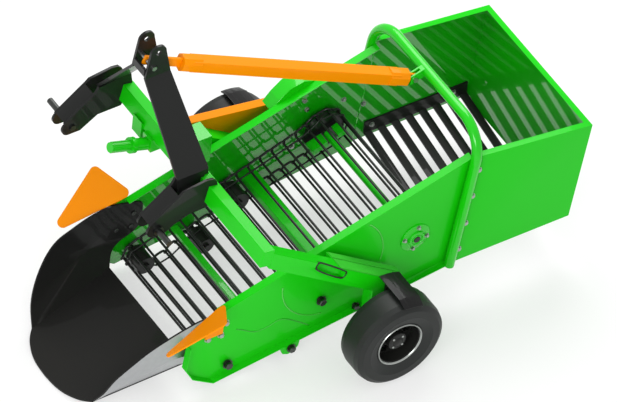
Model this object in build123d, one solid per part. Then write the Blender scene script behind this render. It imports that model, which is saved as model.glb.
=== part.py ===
from build123d import *
import math
import os

# Potato digger: one row, carried on a three-point linkage, with a rod elevator and a collecting box.
# x runs across the machine (+x is its left side), y runs to the rear, z runs up from the ground.
# All sizes are in millimetres. The origin lies on the ground under the middle of the machine.

OUT = os.path.join(os.path.dirname(os.path.abspath(__file__)), "parts")
os.makedirs(OUT, exist_ok=True)

# Elevator walls
WALL_X = 380.0
WALL_T = 4.0
WALL_FLANGE = 36.0
WALL_FLANGE_FRONT_Y = -600.0
WALL_FRONT = [(-712.0, 398.0), (-758.0, 315.0), (-771.0, 190.0), (-734.0, 124.0), (-626.0, 52.0)]
WALL_REAR_LOW_Z = 205.0
WALL_REAR_TOP_Z = 776.0
TOE_FLANGE = 30.0
LUG_T = 10.0

# Collecting box: its rim falls to the rear and its rear wall stands square to the rim
BOX_X = 402.0
BOX_T = 4.0
BOX_LOW_Z = 204.0
BOX_RIM_FRONT_Z = 796.0
BOX_RIM_REAR = (1196.0, 712.0)
BOX_REAR_LOW_Y = 1128.0
RIM_LIP = 28.0

# Hoop over the box mouth
HOOP_R = 23.0
HOOP_X = WALL_X + HOOP_R
HOOP_FOOT = (530.0, 196.0)
HOOP_LEAN = 0.1357
HOOP_TOP_Z = 918.0
HOOP_BEND = 150.0

# Grate of flat bars at the right box wall
GRATE_COUNT = 8
GRATE_PITCH = 68.5
GRATE_FIRST_Y = 626.0
GRATE_BAR_W = 36.0
GRATE_BAR_T = 8.0
GRATE_LENGTH = 560.0
GRATE_SLOPE = 11.5
GRATE_Z = 236.0
GRATE_BACK_H = 60.0

# Rod web and its rollers: (y, z) of each axle
ROD_R = 5.5
ROD_HALF = WALL_X - WALL_T - 24
LINK_INSET = 46.0
LINK_W = 9.0
LINK_T = 6.0
WEB_PITCH = 60.0
WEB_RODS = 40
WEB_START = 43.0
WEB_GAP = 0.4
FRONT_TURN_R = 56.0
RETURN_TURN_R = 53.0
SPROCKET_TEETH = 10
SPROCKET_W = 18.0
DRIVE_TUBE_R = 18.0
LUG_PLATE_T = 26.0
LUG_REACH_FRONT = 104.0
LUG_REACH_REAR = 66.0
FRONT_AXLE = (-550.0, 115.0)
DRIVE_AXLE = (354.0, 427.0)
RETURN_AXLE = (-250.0, 88.0)
SUPPORT_AXLE = (-103.0, 278.0)
TIE_AXLE = (77.0, 159.0)
WEB_KNEE = (245.0, 459.0)
WEB_SAG = [(-390.0, 46.0), (-450.0, 28.0)]
ROLLER_OUT = ROD_HALF - 11
ROLLER_IN = ROD_HALF - 45
DRUM_IN = ROD_HALF - 100
AXLE_R = 15.0
TIE_R = 10.0

# Cross members inside the web: (y, z) ranges
CROSS_BAR = ((-352.0, -322.0), (120.0, 142.0))
CROSS_CHANNEL = ((-14.0, 56.0), (250.0, 290.0))
CHANNEL_T = 5.0

# Share
SHARE_TIP_Y = -1196.0
SHARE_FLOOR = [(105.0, -1187.0), (200.0, -1150.0), (241.0, -1112.0), (310.0, -700.0)]
SHARE_SLOPE = 0.248
SHARE_T = 10.0
SHARE_SIDE_T = 8.0
# Side outline from the floor's front corner round to its rear corner: inset from the wall, y, z
SHARE_SIDE = [
    (81.0, -1088.0, 178.0), (10.0, -948.0, 345.0), (4.0, -862.0, 378.0), (1.0, -784.0, 406.0),
    (0.3, -698.0, 426.0), (0.3, -640.0, 420.0), (0.3, -600.0, 408.0), (0.3, -535.0, 387.0),
    (0.3, -514.0, 368.0), (0.3, -520.0, 257.0), (0.3, -556.0, 215.0), (10.0, -629.0, 206.0),
    (31.0, -674.0, 183.0),
]
SHARE_HUB = (14.0, -800.0, 238.0)

# Crop dividers
DIVIDER = [(360.0, -570.0, 460.0), (424.0, -948.0, 327.0), (528.0, -671.0, 534.0)]
DIVIDER_T = 6.0
DIVIDER_ROUND = 24.0
DIVIDER_TAB = [(-676.0, 318.0), (-590.0, 318.0), (-590.0, 466.0), (-676.0, 427.0)]

# Main beam, arms and wheels
ARM_W = 67.0
ARM_GAP = 45.0
BEAM_HALF = WALL_X + TOE_FLANGE + ARM_GAP + ARM_W
BEAM_FOOT = (-532.0, 798.0)
BEAM_SIZE = (54.0, 84.0)
BEAM_ROLL = 11.0
ARM_H = 74.0
ARM_FRONT = (-487.0, 864.0)
ARM_REAR = (244.0, 333.0)
ARM_STRIP_W = 40.0
STRIP_H = 40.0
STRIP_FRONT_Y = -123.0
ARM_SPACER = [(-105.0, 535.0), (35.0, 435.0), (35.0, 395.0), (-105.0, 470.0)]
ARM_SLOT = [(-252.0, 657.0), (-107.0, 531.0), (-85.0, 556.0), (-230.0, 682.0)]
SLOT_DEPTH = 20.0
RIGHT_ARM_OUT = 464.0
RIGHT_ARM_FRONT = (-540.0, 830.0)
RIGHT_ARM_REAR = (150.0, 344.0)
WHEEL = (90.0, 214.0)
TYRE_R = 214.0
TYRE_W = 162.0
TYRE_GAP = 43.0
WHEEL_X = BEAM_HALF + TYRE_GAP + TYRE_W / 2
RIM_R = 112.0
RIM_W = 130.0
HUB_R = 42.0
KIDNEY_R = (56.0, 88.0)
KIDNEY_HALF_ANGLE = 42.0
KIDNEY_TURN = 35.0
AXLE_STUB_R = 20.0
RUN_CLEARANCE = 0.06
DROP_W = 60.0

# Wheel scrapers: angles round the wheel, and x and radius of the bent plate
SCRAPER_ANGLES = (66.0, 91.0)
SCRAPER_GAP = 18.0
SCRAPER_T = 5.0
SCRAPER_LUG = (12.0, 18.0)
SCRAPER_LUG_LOW = 116.0

# Linkage: centre of the hitch lies to the right of the machine
HITCH_X = -290.0
PIN_Y = -757.0
PIN_Z = 742.0
PIN_R = 14.0
PIN_FREE = 80.0
PIN_COLLAR = 14.0
BRACKET_OUT = 379.0
BRACKET_IN = 294.0
PLATE_T = 12.0
PIN_COLLAR_R = 22.0
NOSE_R = 36.0
INNER_PLATE = [
    (-654.0, 890.0), (-639.0, 918.0), (-483.0, 938.0), (-470.0, 860.0), (-520.0, 760.0), (-634.0, 760.0),
    (-716.0, 705.0),
]
OUTER_PLATE = [
    (-654.0, 890.0), (-639.0, 905.0), (-528.0, 920.0), (-496.0, 914.0), (-478.0, 894.0), (-473.0, 868.0),
    (-520.0, 760.0), (-634.0, 760.0), (-716.0, 705.0),
]
BRACKET_WEB_END = (-660.0, 886.0)
BRACKET_WEB_T = 10.0
EAR_HALF = 53.0
MAST_TOP_Z = 1480.0
TOP_PIN = (-602.0, MAST_TOP_Z - 67.0)
TOP_PIN_R = 12.85
EAR_R = 38.0
EAR_BEND_Z = MAST_TOP_Z - 198.0
FOOT_BEND_Z = 916.0
FOOT_LOW_Z = 800.0
LEG_FRONT = [(-600.0, 790.0), (-632.0, 830.0), (-637.0, 921.0), (-659.0, MAST_TOP_Z - 196.0)]
LEG_BACK = [(-534.0, MAST_TOP_Z - 200.0), (-483.0, 921.0), (-545.0, 800.0)]
STRAP_Z = (MAST_TOP_Z - 190.0, MAST_TOP_Z - 150.0)
BRACE_PIN = (-621.0, MAST_TOP_Z - 144.0)
BRACE_PIN_R = 11.0
BRACE_REAR = (-40.0, 570.0, 894.0)
BRACE_W = 56.0
BRACE_H = 56.0
BRACE_FRONT = 160.0
BRACE_BACK = 36.0
BLOCK_EXTRA = 14.0
BLOCK_CHAMFER = 18.0
BLOCK_LONG = 90.0
TONGUE = (12.0, 44.0)
TONGUE_END = 17.0
PIN_STAND = 8.0

# Gearbox behind the beam, its input stub and the chain case on the right side
PTO_X = -340.0
PTO_END = (-731.0, 828.0)
PTO_TILT = 19.0
PTO_R = 22.2
PTO_FREE = 105.0
PTO_TUBE_R = 27.0
PTO_COLLAR = (35.0, 20.0)
PTO_HANGER = ((-546.0, -486.0), (738.0, 806.0))
GEARBOX = ((-397.0, -300.0), (-352.0, -242.0), (550.0, 700.0))
CASE_X = (-510.0, -467.0)
CASE_FRONT = (-290.0, 588.0, 45.0)
CASE_REAR_R = 85.0
HOOD = [
    (104.0, 610.0), (141.0, 655.0), (192.0, 697.0), (262.0, 712.0), (330.0, 690.0), (340.0, 640.0), (300.0, 610.0),
]
HOOD_DEEP = 70.0


def slab(points, x_low, x_high):
    """Solid with the outline (y, z) between two x planes."""
    face = Plane.YZ * make_face(Polyline(*points, close=True))
    return Pos(x_low, 0, 0) * extrude(face, amount=x_high - x_low, dir=(1, 0, 0))


def side_offset(points, distance):
    """Chain of (a, b) points moved to its left by a distance, with mitred corners."""
    moved = []
    count = len(points)
    for i in range(count):
        before = points[max(i - 1, 0)]
        here = points[i]
        after = points[min(i + 1, count - 1)]
        if i == 0:
            before = here
        if i == count - 1:
            after = here
        normals = []
        for p, q in ((before, here), (here, after)):
            length = math.hypot(q[0] - p[0], q[1] - p[1])
            if length > 1e-9:
                normals.append((-(q[1] - p[1]) / length, (q[0] - p[0]) / length))
        if len(normals) == 1:
            nx, ny = normals[0]
            moved.append((here[0] + nx * distance, here[1] + ny * distance))
        else:
            nx = normals[0][0] + normals[1][0]
            ny = normals[0][1] + normals[1][1]
            scale = 2.0 / (nx * nx + ny * ny)
            moved.append((here[0] + nx * scale * distance, here[1] + ny * scale * distance))
    return moved


def ribbon(points, thickness, x_low, x_high):
    """Folded strip that follows a chain of (y, z) points and lies to the chain's left."""
    inner = side_offset(points, thickness)
    return slab(points + inner[::-1], x_low, x_high)


def prism(corners, shift):
    """Solid swept from a flat polygon of (x, y, z) corners along a vector."""
    face = make_face(Polyline(*corners, close=True))
    vector = Vector(*shift)
    return extrude(face, amount=vector.length, dir=vector.normalized())


def mirrored(solid):
    """Copy on the other side of the machine."""
    return mirror(solid, about=Plane.YZ)


def rod_x(x_low, x_high, y, z, radius):
    """Round bar across the machine."""
    return Pos((x_low + x_high) / 2, y, z) * Rot(0, 90, 0) * Cylinder(radius, x_high - x_low)


def block(x, y, z):
    """Box between pairs of coordinates."""
    size = (x[1] - x[0], y[1] - y[0], z[1] - z[0])
    return Pos((x[0] + x[1]) / 2, (y[0] + y[1]) / 2, (z[0] + z[1]) / 2) * Box(*size)


def hoop_y(z):
    """The hoop's plane, which leans to the rear."""
    return HOOP_FOOT[0] + (z - HOOP_FOOT[1]) * HOOP_LEAN


def share_z(y):
    """Height of the share's floor."""
    return (y - SHARE_TIP_Y) * SHARE_SLOPE


parts = {}

# Elevator walls: folded plates, the top flange pointing in and the toe and bottom flanges out
wall_top_rear = (hoop_y(WALL_REAR_TOP_Z), WALL_REAR_TOP_Z)
wall_low_rear = (hoop_y(WALL_REAR_LOW_Z), WALL_REAR_LOW_Z)
wall_outline = WALL_FRONT + [wall_low_rear, wall_top_rear]
wall = slab(wall_outline, WALL_X - WALL_T, WALL_X)
wall += ribbon(WALL_FRONT[1:] + [wall_low_rear], WALL_T, WALL_X - WALL_T, WALL_X + TOE_FLANGE)
top_rise = (wall_top_rear[1] - WALL_FRONT[0][1]) / (wall_top_rear[0] - WALL_FRONT[0][0])
flange_front_z = WALL_FRONT[0][1] + (WALL_FLANGE_FRONT_Y - WALL_FRONT[0][0]) * top_rise
flange_line = [wall_top_rear, (WALL_FLANGE_FRONT_Y, flange_front_z)]
wall += ribbon(flange_line, WALL_T, WALL_X - WALL_FLANGE, WALL_X)

lug_y, lug_z = RETURN_AXLE
toe_rise = (wall_low_rear[1] - WALL_FRONT[-1][1]) / (wall_low_rear[0] - WALL_FRONT[-1][0])
lug_line = lug_z + 2 + WALL_FRONT[-1][1] - lug_z + (lug_y - WALL_FRONT[-1][0]) * toe_rise
lug_outline = [
    (lug_y + 45, lug_line + 45 * toe_rise), (lug_y - 50, lug_line - 50 * toe_rise), (lug_y - 36, lug_z - 26),
    (lug_y - 10, lug_z - 38), (lug_y + 18, lug_z - 34), (lug_y + 40, lug_z - 10),
]
wall += slab(lug_outline, WALL_X + TOE_FLANGE - LUG_T, WALL_X + TOE_FLANGE)
bores = (
    (FRONT_AXLE, AXLE_R), (RETURN_AXLE, AXLE_R), (DRIVE_AXLE, AXLE_R), (SUPPORT_AXLE, AXLE_R), (TIE_AXLE, TIE_R),
)
for axle, radius in bores:
    wall -= rod_x(WALL_X - 2 * WALL_T, WALL_X + 2 * TOE_FLANGE, axle[0], axle[1], radius)
parts["side_wall_left"] = wall
parts["side_wall_right"] = mirrored(wall)

# Collecting box
rim_front = (hoop_y(BOX_RIM_FRONT_Z), BOX_RIM_FRONT_Z)
box_outline = [
    (hoop_y(BOX_LOW_Z), BOX_LOW_Z), (BOX_REAR_LOW_Y, BOX_LOW_Z), BOX_RIM_REAR, rim_front,
]
box_wall = slab(box_outline, BOX_X - BOX_T, BOX_X)
box_wall += ribbon([BOX_RIM_REAR, rim_front], BOX_T, BOX_X - RIM_LIP, BOX_X)
rear_chain = [(BOX_REAR_LOW_Y, BOX_LOW_Z), BOX_RIM_REAR]
box_rear = ribbon(rear_chain, BOX_T, -BOX_X + BOX_T, BOX_X - BOX_T)
rim_run = (rim_front[0] - BOX_RIM_REAR[0], rim_front[1] - BOX_RIM_REAR[1])
rim_length = math.hypot(*rim_run)
rim_dir = (rim_run[0] / rim_length, rim_run[1] / rim_length)
lip_end = (BOX_RIM_REAR[0] + rim_dir[0] * RIM_LIP, BOX_RIM_REAR[1] + rim_dir[1] * RIM_LIP)
box_rear += ribbon([BOX_RIM_REAR, lip_end], BOX_T, -BOX_X + RIM_LIP, BOX_X - RIM_LIP)
box_wall -= box_rear
parts["box_wall_left"] = box_wall
parts["box_wall_right"] = mirrored(box_wall)
parts["box_rear"] = box_rear

# Hoop: one bent tube
foot_y, foot_z = HOOP_FOOT
hoop_path = FilletPolyline(
    (HOOP_X, foot_y, foot_z),
    (HOOP_X, hoop_y(HOOP_TOP_Z), HOOP_TOP_Z),
    (-HOOP_X, hoop_y(HOOP_TOP_Z), HOOP_TOP_Z),
    (-HOOP_X, foot_y, foot_z),
    radius=HOOP_BEND,
)
hoop_start = Plane(origin=hoop_path @ 0, z_dir=hoop_path % 0)
hoop = sweep(hoop_start * Circle(HOOP_R), path=hoop_path)
brace_x, brace_y, brace_z = BRACE_REAR
top_y = hoop_y(HOOP_TOP_Z)
clevis_outline = [
    (brace_y - 22, brace_z - 22), (top_y, HOOP_TOP_Z - HOOP_R), (top_y, HOOP_TOP_Z + HOOP_R),
    (brace_y - 22, brace_z + 22),
]
clevis = slab(clevis_outline, -14, 14)
clevis_out = Pos(brace_x, 0, 0) * (clevis - block((-6.5, 6.5), (brace_y - 60, brace_y + 28), (0, 2000)))
clevis_out -= rod_x(brace_x - 50, brace_x + 50, brace_y, brace_z, BRACE_PIN_R)
parts["hoop"] = hoop + clevis_out
for name in ("box_wall_left", "box_wall_right", "side_wall_left", "side_wall_right"):
    parts[name] = parts[name] - hoop

# Grate: a comb bolted to the right box wall
grate_x = -BOX_X + BOX_T
grate_y0 = GRATE_FIRST_Y - GRATE_BAR_W / 2
grate_y1 = GRATE_FIRST_Y + GRATE_PITCH * (GRATE_COUNT - 1) + GRATE_BAR_W / 2
grate = block((grate_x, grate_x + GRATE_BAR_T), (grate_y0, grate_y1), (GRATE_Z - GRATE_BAR_T, GRATE_Z + GRATE_BACK_H))
for i in range(GRATE_COUNT):
    bar = Pos(GRATE_LENGTH / 2, 0, -GRATE_BAR_T / 2) * Box(GRATE_LENGTH, GRATE_BAR_W, GRATE_BAR_T)
    grate += Pos(grate_x, GRATE_FIRST_Y + i * GRATE_PITCH, GRATE_Z) * Rot(0, GRATE_SLOPE, 0) * bar
grate -= block((grate_x - 20, grate_x), (grate_y0 - 9, grate_y1 + 9), (0, 1000))
parts["grate"] = grate

# Rod web: rods at one pitch round a closed path. Each corner of the path is (y, z, radius): the radius
# is negative where the path passes over a roller from outside, and nought where the web hangs free
drive_web_r = WEB_PITCH / 2 / math.sin(math.pi / SPROCKET_TEETH)
web_corners = [(*FRONT_AXLE, FRONT_TURN_R), (*WEB_KNEE, 0.0), (*DRIVE_AXLE, drive_web_r)]
web_corners += [(*RETURN_AXLE, -RETURN_TURN_R)] + [(y, z, 0.0) for y, z in WEB_SAG]


def tangent(first, second, side):
    """Line that touches two circles (y, z, radius) on one side: its ends and its normal."""
    ay, az, ar = first
    by, bz, br = second
    length = math.hypot(by - ay, bz - az)
    along = ((by - ay) / length, (bz - az) / length)
    lean = (ar - br) / length
    out = side * math.sqrt(1 - lean * lean)
    normal = (along[0] * lean - along[1] * out, along[1] * lean + along[0] * out)
    start = (ay + normal[0] * ar, az + normal[1] * ar)
    stop = (by + normal[0] * br, bz + normal[1] * br)
    return start, stop, normal


def web_path():
    """Points (y, z) along the closed path, with each arc in short steps."""
    count = len(web_corners)
    runs = [tangent(web_corners[i], web_corners[(i + 1) % count], 1) for i in range(count)]
    path = []
    for i in range(count):
        start, stop, normal = runs[i]
        path += [start, stop]
        cy, cz, radius = web_corners[(i + 1) % count]
        if radius == 0:
            continue
        angle = math.atan2(normal[1], normal[0])
        after = runs[(i + 1) % count][2]
        turn = (angle - math.atan2(after[1], after[0])) % (2 * math.pi)
        if radius < 0:
            turn -= 2 * math.pi
        steps = 24
        for k in range(1, steps):
            at = angle - turn * k / steps
            path.append((cy + radius * math.cos(at), cz + radius * math.sin(at)))
    return path + [path[0]]


def web_points():
    """Points (y, z) of the rods, spaced evenly along the path."""
    path = web_path()
    lengths = [math.hypot(q[0] - p[0], q[1] - p[1]) for p, q in zip(path, path[1:])]
    step = sum(lengths) / WEB_RODS
    points = []
    target = WEB_START
    walked = 0.0
    for (p, q), length in zip(zip(path, path[1:]), lengths):
        while target < walked + length - 1e-6 and len(points) < WEB_RODS:
            f = (target - walked) / length
            points.append((p[0] + (q[0] - p[0]) * f, p[1] + (q[1] - p[1]) * f))
            target += step
        walked += length
    return points


rod_points = web_points()
web_solids = []
for i, point in enumerate(rod_points):
    after = rod_points[(i + 1) % len(rod_points)]
    turn = math.degrees(math.atan2(after[1] - point[1], after[0] - point[0]))
    profile = Plane.YZ * Pos(point[0], point[1]) * RegularPolygon(ROD_R, 8, rotation=turn)
    web_solids.append(Pos(-ROD_HALF, 0, 0) * extrude(profile, amount=2 * ROD_HALF, dir=(1, 0, 0)))
    span = math.hypot(after[0] - point[0], after[1] - point[1])
    middle = ((point[0] + after[0]) / 2, (point[1] + after[1]) / 2)
    for x in (ROD_HALF - LINK_W / 2, ROD_HALF - LINK_INSET):
        link = Rot(turn, 0, 0) * Box(LINK_W, span, LINK_T)
        web_solids.append(Pos(x, middle[0], middle[1]) * link)
        web_solids.append(Pos(-x, middle[0], middle[1]) * link)
web = web_solids[0].fuse(*web_solids[1:])
parts["rod_web"] = web


def ring_room(radius):
    """Largest roller that clears the links of the web on a turn of this radius."""
    return math.sqrt(radius**2 - (WEB_PITCH / 2 + 1)**2) - LINK_T / 2 - WEB_GAP


# Web rollers: pairs on stub axles in the walls, each with its axle, its radius and the stub's outer end
run_start, run_stop, run_normal = tangent(web_corners[0], web_corners[1], 1)
support_room = (run_start[0] - SUPPORT_AXLE[0]) * run_normal[0] + (run_start[1] - SUPPORT_AXLE[1]) * run_normal[1]
nearest_rod = min(math.hypot(y - SUPPORT_AXLE[0], z - SUPPORT_AXLE[1]) for y, z in rod_points)
support_r = min(nearest_rod - ROD_R, support_room - LINK_T / 2) - WEB_GAP
rollers = {
    "front_roller": (FRONT_AXLE, ring_room(FRONT_TURN_R), WALL_X + 12),
    "return_roller": (RETURN_AXLE, ring_room(RETURN_TURN_R), WALL_X + TOE_FLANGE + 8),
    "support_roller": (SUPPORT_AXLE, support_r, WALL_X + 12),
}
for name, (axle, radius, stub_end) in rollers.items():
    roller = rod_x(DRUM_IN - 12, stub_end, *axle, AXLE_R) + rod_x(DRUM_IN, ROLLER_OUT, *axle, radius)
    parts[name] = Compound(children=[roller, mirrored(roller)])

# Drive axle: a tube with toothed wheels, plates that lift the rods, and flange bearings
dy, dz = DRIVE_AXLE
sprocket = rod_x(ROLLER_OUT - SPROCKET_W, ROLLER_OUT, 0, 0, drive_web_r - 2)
first = min(rod_points, key=lambda p: abs(math.hypot(p[0] - dy, p[1] - dz) - drive_web_r))
first_angle = math.atan2(first[1] - dz, first[0] - dy)
for k in range(SPROCKET_TEETH):
    at = first_angle + 2 * math.pi * k / SPROCKET_TEETH
    sprocket -= rod_x(0, WALL_X, drive_web_r * math.cos(at), drive_web_r * math.sin(at), ROD_R + 3)
lug_plates = block((ROLLER_IN, ROLLER_OUT), (-LUG_REACH_FRONT, LUG_REACH_REAR), (0, LUG_PLATE_T))
lug_plates += block((DRUM_IN, ROLLER_IN), (-LUG_REACH_FRONT, -1.5 * DRIVE_TUBE_R), (0, LUG_PLATE_T))
lug_plates += block((DRUM_IN, ROLLER_IN), (1.5 * DRIVE_TUBE_R, LUG_REACH_REAR), (0, LUG_PLATE_T))
wheel_side = sprocket + Rot(math.degrees(math.atan2(run_normal[1], run_normal[0])) - 90, 0, 0) * lug_plates
drive = rod_x(CASE_X[1], WALL_X + 20, 0, 0, AXLE_R) + rod_x(-ROLLER_IN, ROLLER_IN, 0, 0, DRIVE_TUBE_R)
drive += wheel_side + mirrored(wheel_side)
parts["drive_axle"] = (Pos(0, dy, dz) * drive) - web
bearing = Pos(WALL_X + 3, dy, dz) * Box(6, 84, 84)
bearing = fillet(bearing.edges().filter_by(Axis.X), 16)
bearing += rod_x(WALL_X + 6, WALL_X + 18, dy, dz, 32)
bearing -= rod_x(WALL_X - 5, WALL_X + 40, dy, dz, AXLE_R)
parts["drive_bearing_left"] = bearing
parts["drive_bearing_right"] = mirrored(bearing)

# Cross members between the walls
inner = WALL_X - WALL_T
cross_front = block((-inner, inner), *CROSS_BAR)
(channel_y0, channel_y1), (channel_z0, channel_z1) = CROSS_CHANNEL
cross_channel = block((-inner, inner), *CROSS_CHANNEL)
hollow_y = (channel_y0 + CHANNEL_T, channel_y1 - CHANNEL_T)
hollow_z = (channel_z0 - CHANNEL_T, channel_z1 - CHANNEL_T)
cross_channel -= block((-inner, inner), hollow_y, hollow_z)
parts["cross_tube"] = cross_front
parts["cross_channel"] = cross_channel
parts["tie_rod"] = rod_x(-WALL_X - 12, WALL_X + 12, *TIE_AXLE, TIE_R)

# Share: a floor that rises to the rear and two flared sides
tip = (0.0, SHARE_TIP_Y)
floor_right = [(-x, y) for x, y in SHARE_FLOOR]
floor_plan = [tip] + SHARE_FLOOR + floor_right[::-1]
share = prism([(x, y, share_z(y)) for x, y in floor_plan], (0, 0, SHARE_T))
share_inner = WALL_X - WALL_T
front_x, front_y = SHARE_FLOOR[-2]
back_x, back_y = SHARE_FLOOR[-1]
corners = [(front_x, front_y, share_z(front_y))]
corners += [(share_inner - inset, y, z) for inset, y, z in SHARE_SIDE]
corners += [(back_x, back_y, share_z(back_y))]
hub = (share_inner - SHARE_HUB[0], SHARE_HUB[1], SHARE_HUB[2])
side_pieces = []
for a, b in zip(corners, corners[1:] + corners[:1]):
    side_pieces.append(prism([a, b, hub], (-SHARE_SIDE_T, 0, 0)))
side = side_pieces[0].fuse(*side_pieces[1:])
share = share + side + mirrored(side)
parts["share"] = share

# Crop dividers
v0, v1, v2 = [Vector(*p) for p in DIVIDER]
divider_plane = Plane(origin=v0, x_dir=v1 - v0, z_dir=(v1 - v0).cross(v2 - v0))
local = [divider_plane.to_local_coords(p) for p in (v0, v1, v2)]
triangle = make_face(Polyline(*[(p.X, p.Y) for p in local], close=True))
triangle = fillet(triangle.vertices(), DIVIDER_ROUND)
divider = extrude(divider_plane * triangle, amount=DIVIDER_T)
divider += slab(DIVIDER_TAB, WALL_X + 0.3, WALL_X + 12)
parts["divider_left"] = divider
parts["divider_right"] = mirrored(divider)

# Main beam: a tube rolled about its lower front edge
beam_right = HITCH_X - BRACKET_IN - PLATE_T
foot_y, foot_z = BEAM_FOOT
beam = Box(BEAM_HALF - beam_right, *BEAM_SIZE, align=(Align.MIN, Align.MIN, Align.MIN))
beam = Pos(beam_right, foot_y, foot_z) * Rot(-BEAM_ROLL, 0, 0) * beam
parts["main_beam"] = beam

# Arms from the beam down to the wheels
wy, wz = WHEEL


def arm_solid(front, rear, x_in, x_out):
    """Straight tube that falls to the rear, with a strut down to the wheel's axle."""
    fall = (front[1] - rear[1]) / (rear[0] - front[0])
    depth = ARM_H * math.sqrt(1 + fall * fall)
    outline = [
        front, rear, (rear[0], rear[1] - depth * 0.75),
        (rear[0] - 24, rear[1] + 24 * fall - depth), (front[0], front[1] - depth),
    ]
    solid = slab(outline, x_in, x_out)
    top_z = rear[1] + (rear[0] - wy) * fall
    strut = block((x_in, x_out), (wy - DROP_W / 2, wy + DROP_W / 2), (wz - 38, top_z - depth / 2))
    return (solid + strut) - beam


arm_out = BEAM_HALF
arm_in = BEAM_HALF - ARM_W
arm_left = arm_solid(ARM_FRONT, ARM_REAR, arm_in, arm_out)
arm_left += rod_x(arm_out, WHEEL_X + 46, wy, wz, AXLE_STUB_R)
fall = (ARM_FRONT[1] - ARM_REAR[1]) / (ARM_REAR[0] - ARM_FRONT[0])
strip_front = (STRIP_FRONT_Y, ARM_REAR[1] + (ARM_REAR[0] - STRIP_FRONT_Y) * fall)
strip_low = (ARM_REAR[0], ARM_REAR[1] - STRIP_H)
strip_outline = [strip_front, ARM_REAR, strip_low, (STRIP_FRONT_Y, strip_front[1] - STRIP_H)]
arm_left += slab(strip_outline, arm_in - ARM_STRIP_W, arm_in)
arm_left += slab(ARM_SPACER, WALL_X, arm_in)
slot_body = slab(ARM_SLOT, arm_out - SLOT_DEPTH, arm_out + 1)
parts["arm_left"] = arm_left - slot_body
right_in = RIGHT_ARM_OUT - ARM_W
arm_right = mirrored(arm_solid(RIGHT_ARM_FRONT, RIGHT_ARM_REAR, right_in, RIGHT_ARM_OUT) - mirrored(beam))
arm_right += rod_x(-WHEEL_X - 46, -RIGHT_ARM_OUT, wy, wz, AXLE_STUB_R)
arm_right += block((-right_in, -WALL_X), (wy - DROP_W / 2, wy + DROP_W / 2), (wz + 16, wz + 116))
output_y, output_z, output_r = CASE_FRONT
output = rod_x(CASE_X[1], GEARBOX[0][0], output_y, output_z, AXLE_R)
parts["arm_right"] = (arm_right - beam) - output

# Wheels
tyre_profile = [
    (RIM_R, -RIM_W / 2), (TYRE_R - 60, -TYRE_W / 2), (TYRE_R - 26, -TYRE_W / 2 + 2), (TYRE_R - 6, -TYRE_W / 2 + 16),
    (TYRE_R, -TYRE_W / 2 + 40), (TYRE_R, TYRE_W / 2 - 40), (TYRE_R - 6, TYRE_W / 2 - 16),
    (TYRE_R - 26, TYRE_W / 2 - 2), (TYRE_R - 60, TYRE_W / 2), (RIM_R, RIM_W / 2),
]
tyre_face = Plane.XZ * make_face(Polyline(*[(b, a) for a, b in tyre_profile], close=True))
tyre = revolve(tyre_face, axis=Axis.X)
rim_profile = [
    (AXLE_STUB_R + RUN_CLEARANCE, -40), (HUB_R, -40), (HUB_R, -8), (RIM_R - 14, -8), (RIM_R - 14, -RIM_W / 2 + 6),
    (RIM_R, -RIM_W / 2), (RIM_R, RIM_W / 2), (RIM_R - 14, RIM_W / 2 - 6), (RIM_R - 14, 2), (HUB_R, 2),
    (HUB_R, 46), (AXLE_STUB_R + RUN_CLEARANCE, 46),
]
rim_face = Plane.XZ * make_face(Polyline(*[(b, a) for a, b in rim_profile], close=True))
rim = revolve(rim_face, axis=Axis.X)
kidney_ring = rod_x(-RIM_W, RIM_W, 0, 0, KIDNEY_R[1]) - rod_x(-RIM_W, RIM_W, 0, 0, KIDNEY_R[0])
wedge_low = math.tan(math.radians(KIDNEY_HALF_ANGLE)) * KIDNEY_R[1]
for side in (-1, 1):
    wedge = [(0, 0), (side * KIDNEY_R[1], wedge_low), (side * KIDNEY_R[1] * 2, 0), (side * KIDNEY_R[1], -wedge_low)]
    rim -= Rot(KIDNEY_TURN, 0, 0) * (kidney_ring & slab(wedge, -12, 12))
parts["tyre_left"] = Pos(WHEEL_X, wy, wz) * tyre
parts["rim_left"] = Pos(WHEEL_X, wy, wz) * rim
parts["tyre_right"] = mirrored(parts["tyre_left"])
parts["rim_right"] = mirrored(parts["rim_left"])

# Wheel scrapers: a bent plate over each tyre, cut from a ring by a wedge
scraper_r = TYRE_R + SCRAPER_GAP


def scraper_plate(x_in, lug):
    """Plate over the left tyre, from its carrier at x_in to the tyre's outer edge."""
    outer = WHEEL_X + TYRE_W / 2 - 5
    chain = [(x_in, scraper_r), (outer - 46, scraper_r), (outer, scraper_r - 18)]
    outline = chain + side_offset(chain, SCRAPER_T)[::-1]
    ring = revolve(Plane.XZ * make_face(Polyline(*outline, close=True)), axis=Axis.X)
    reach = 2 * scraper_r
    low, high = [math.radians(angle) for angle in SCRAPER_ANGLES]
    wedge = [(0, 0), (reach * math.cos(low), reach * math.sin(low)), (reach * math.cos(high), reach * math.sin(high))]
    plate = ring & slab(wedge, x_in - 1, outer + 1)
    middle = (low + high) / 2
    lug_y = scraper_r * math.cos(middle)
    lug_top = scraper_r * math.sin(middle) + SCRAPER_T / 2
    plate += block((x_in, x_in + SCRAPER_LUG[0]), (lug_y - SCRAPER_LUG[1], lug_y + SCRAPER_LUG[1]), (lug, lug_top))
    return Pos(0, wy, wz) * plate


parts["scraper_left"] = scraper_plate(arm_out, SCRAPER_LUG_LOW)
parts["scraper_right"] = mirrored(scraper_plate(-CASE_X[0], SCRAPER_LUG_LOW))

# Lower link brackets: an inner and an outer plate with rounded noses, which hook over the beam
nose_y, nose_z = PIN_Y - 14, PIN_Z - 1
web_start = (nose_y - 25, nose_z + 37)


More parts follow.
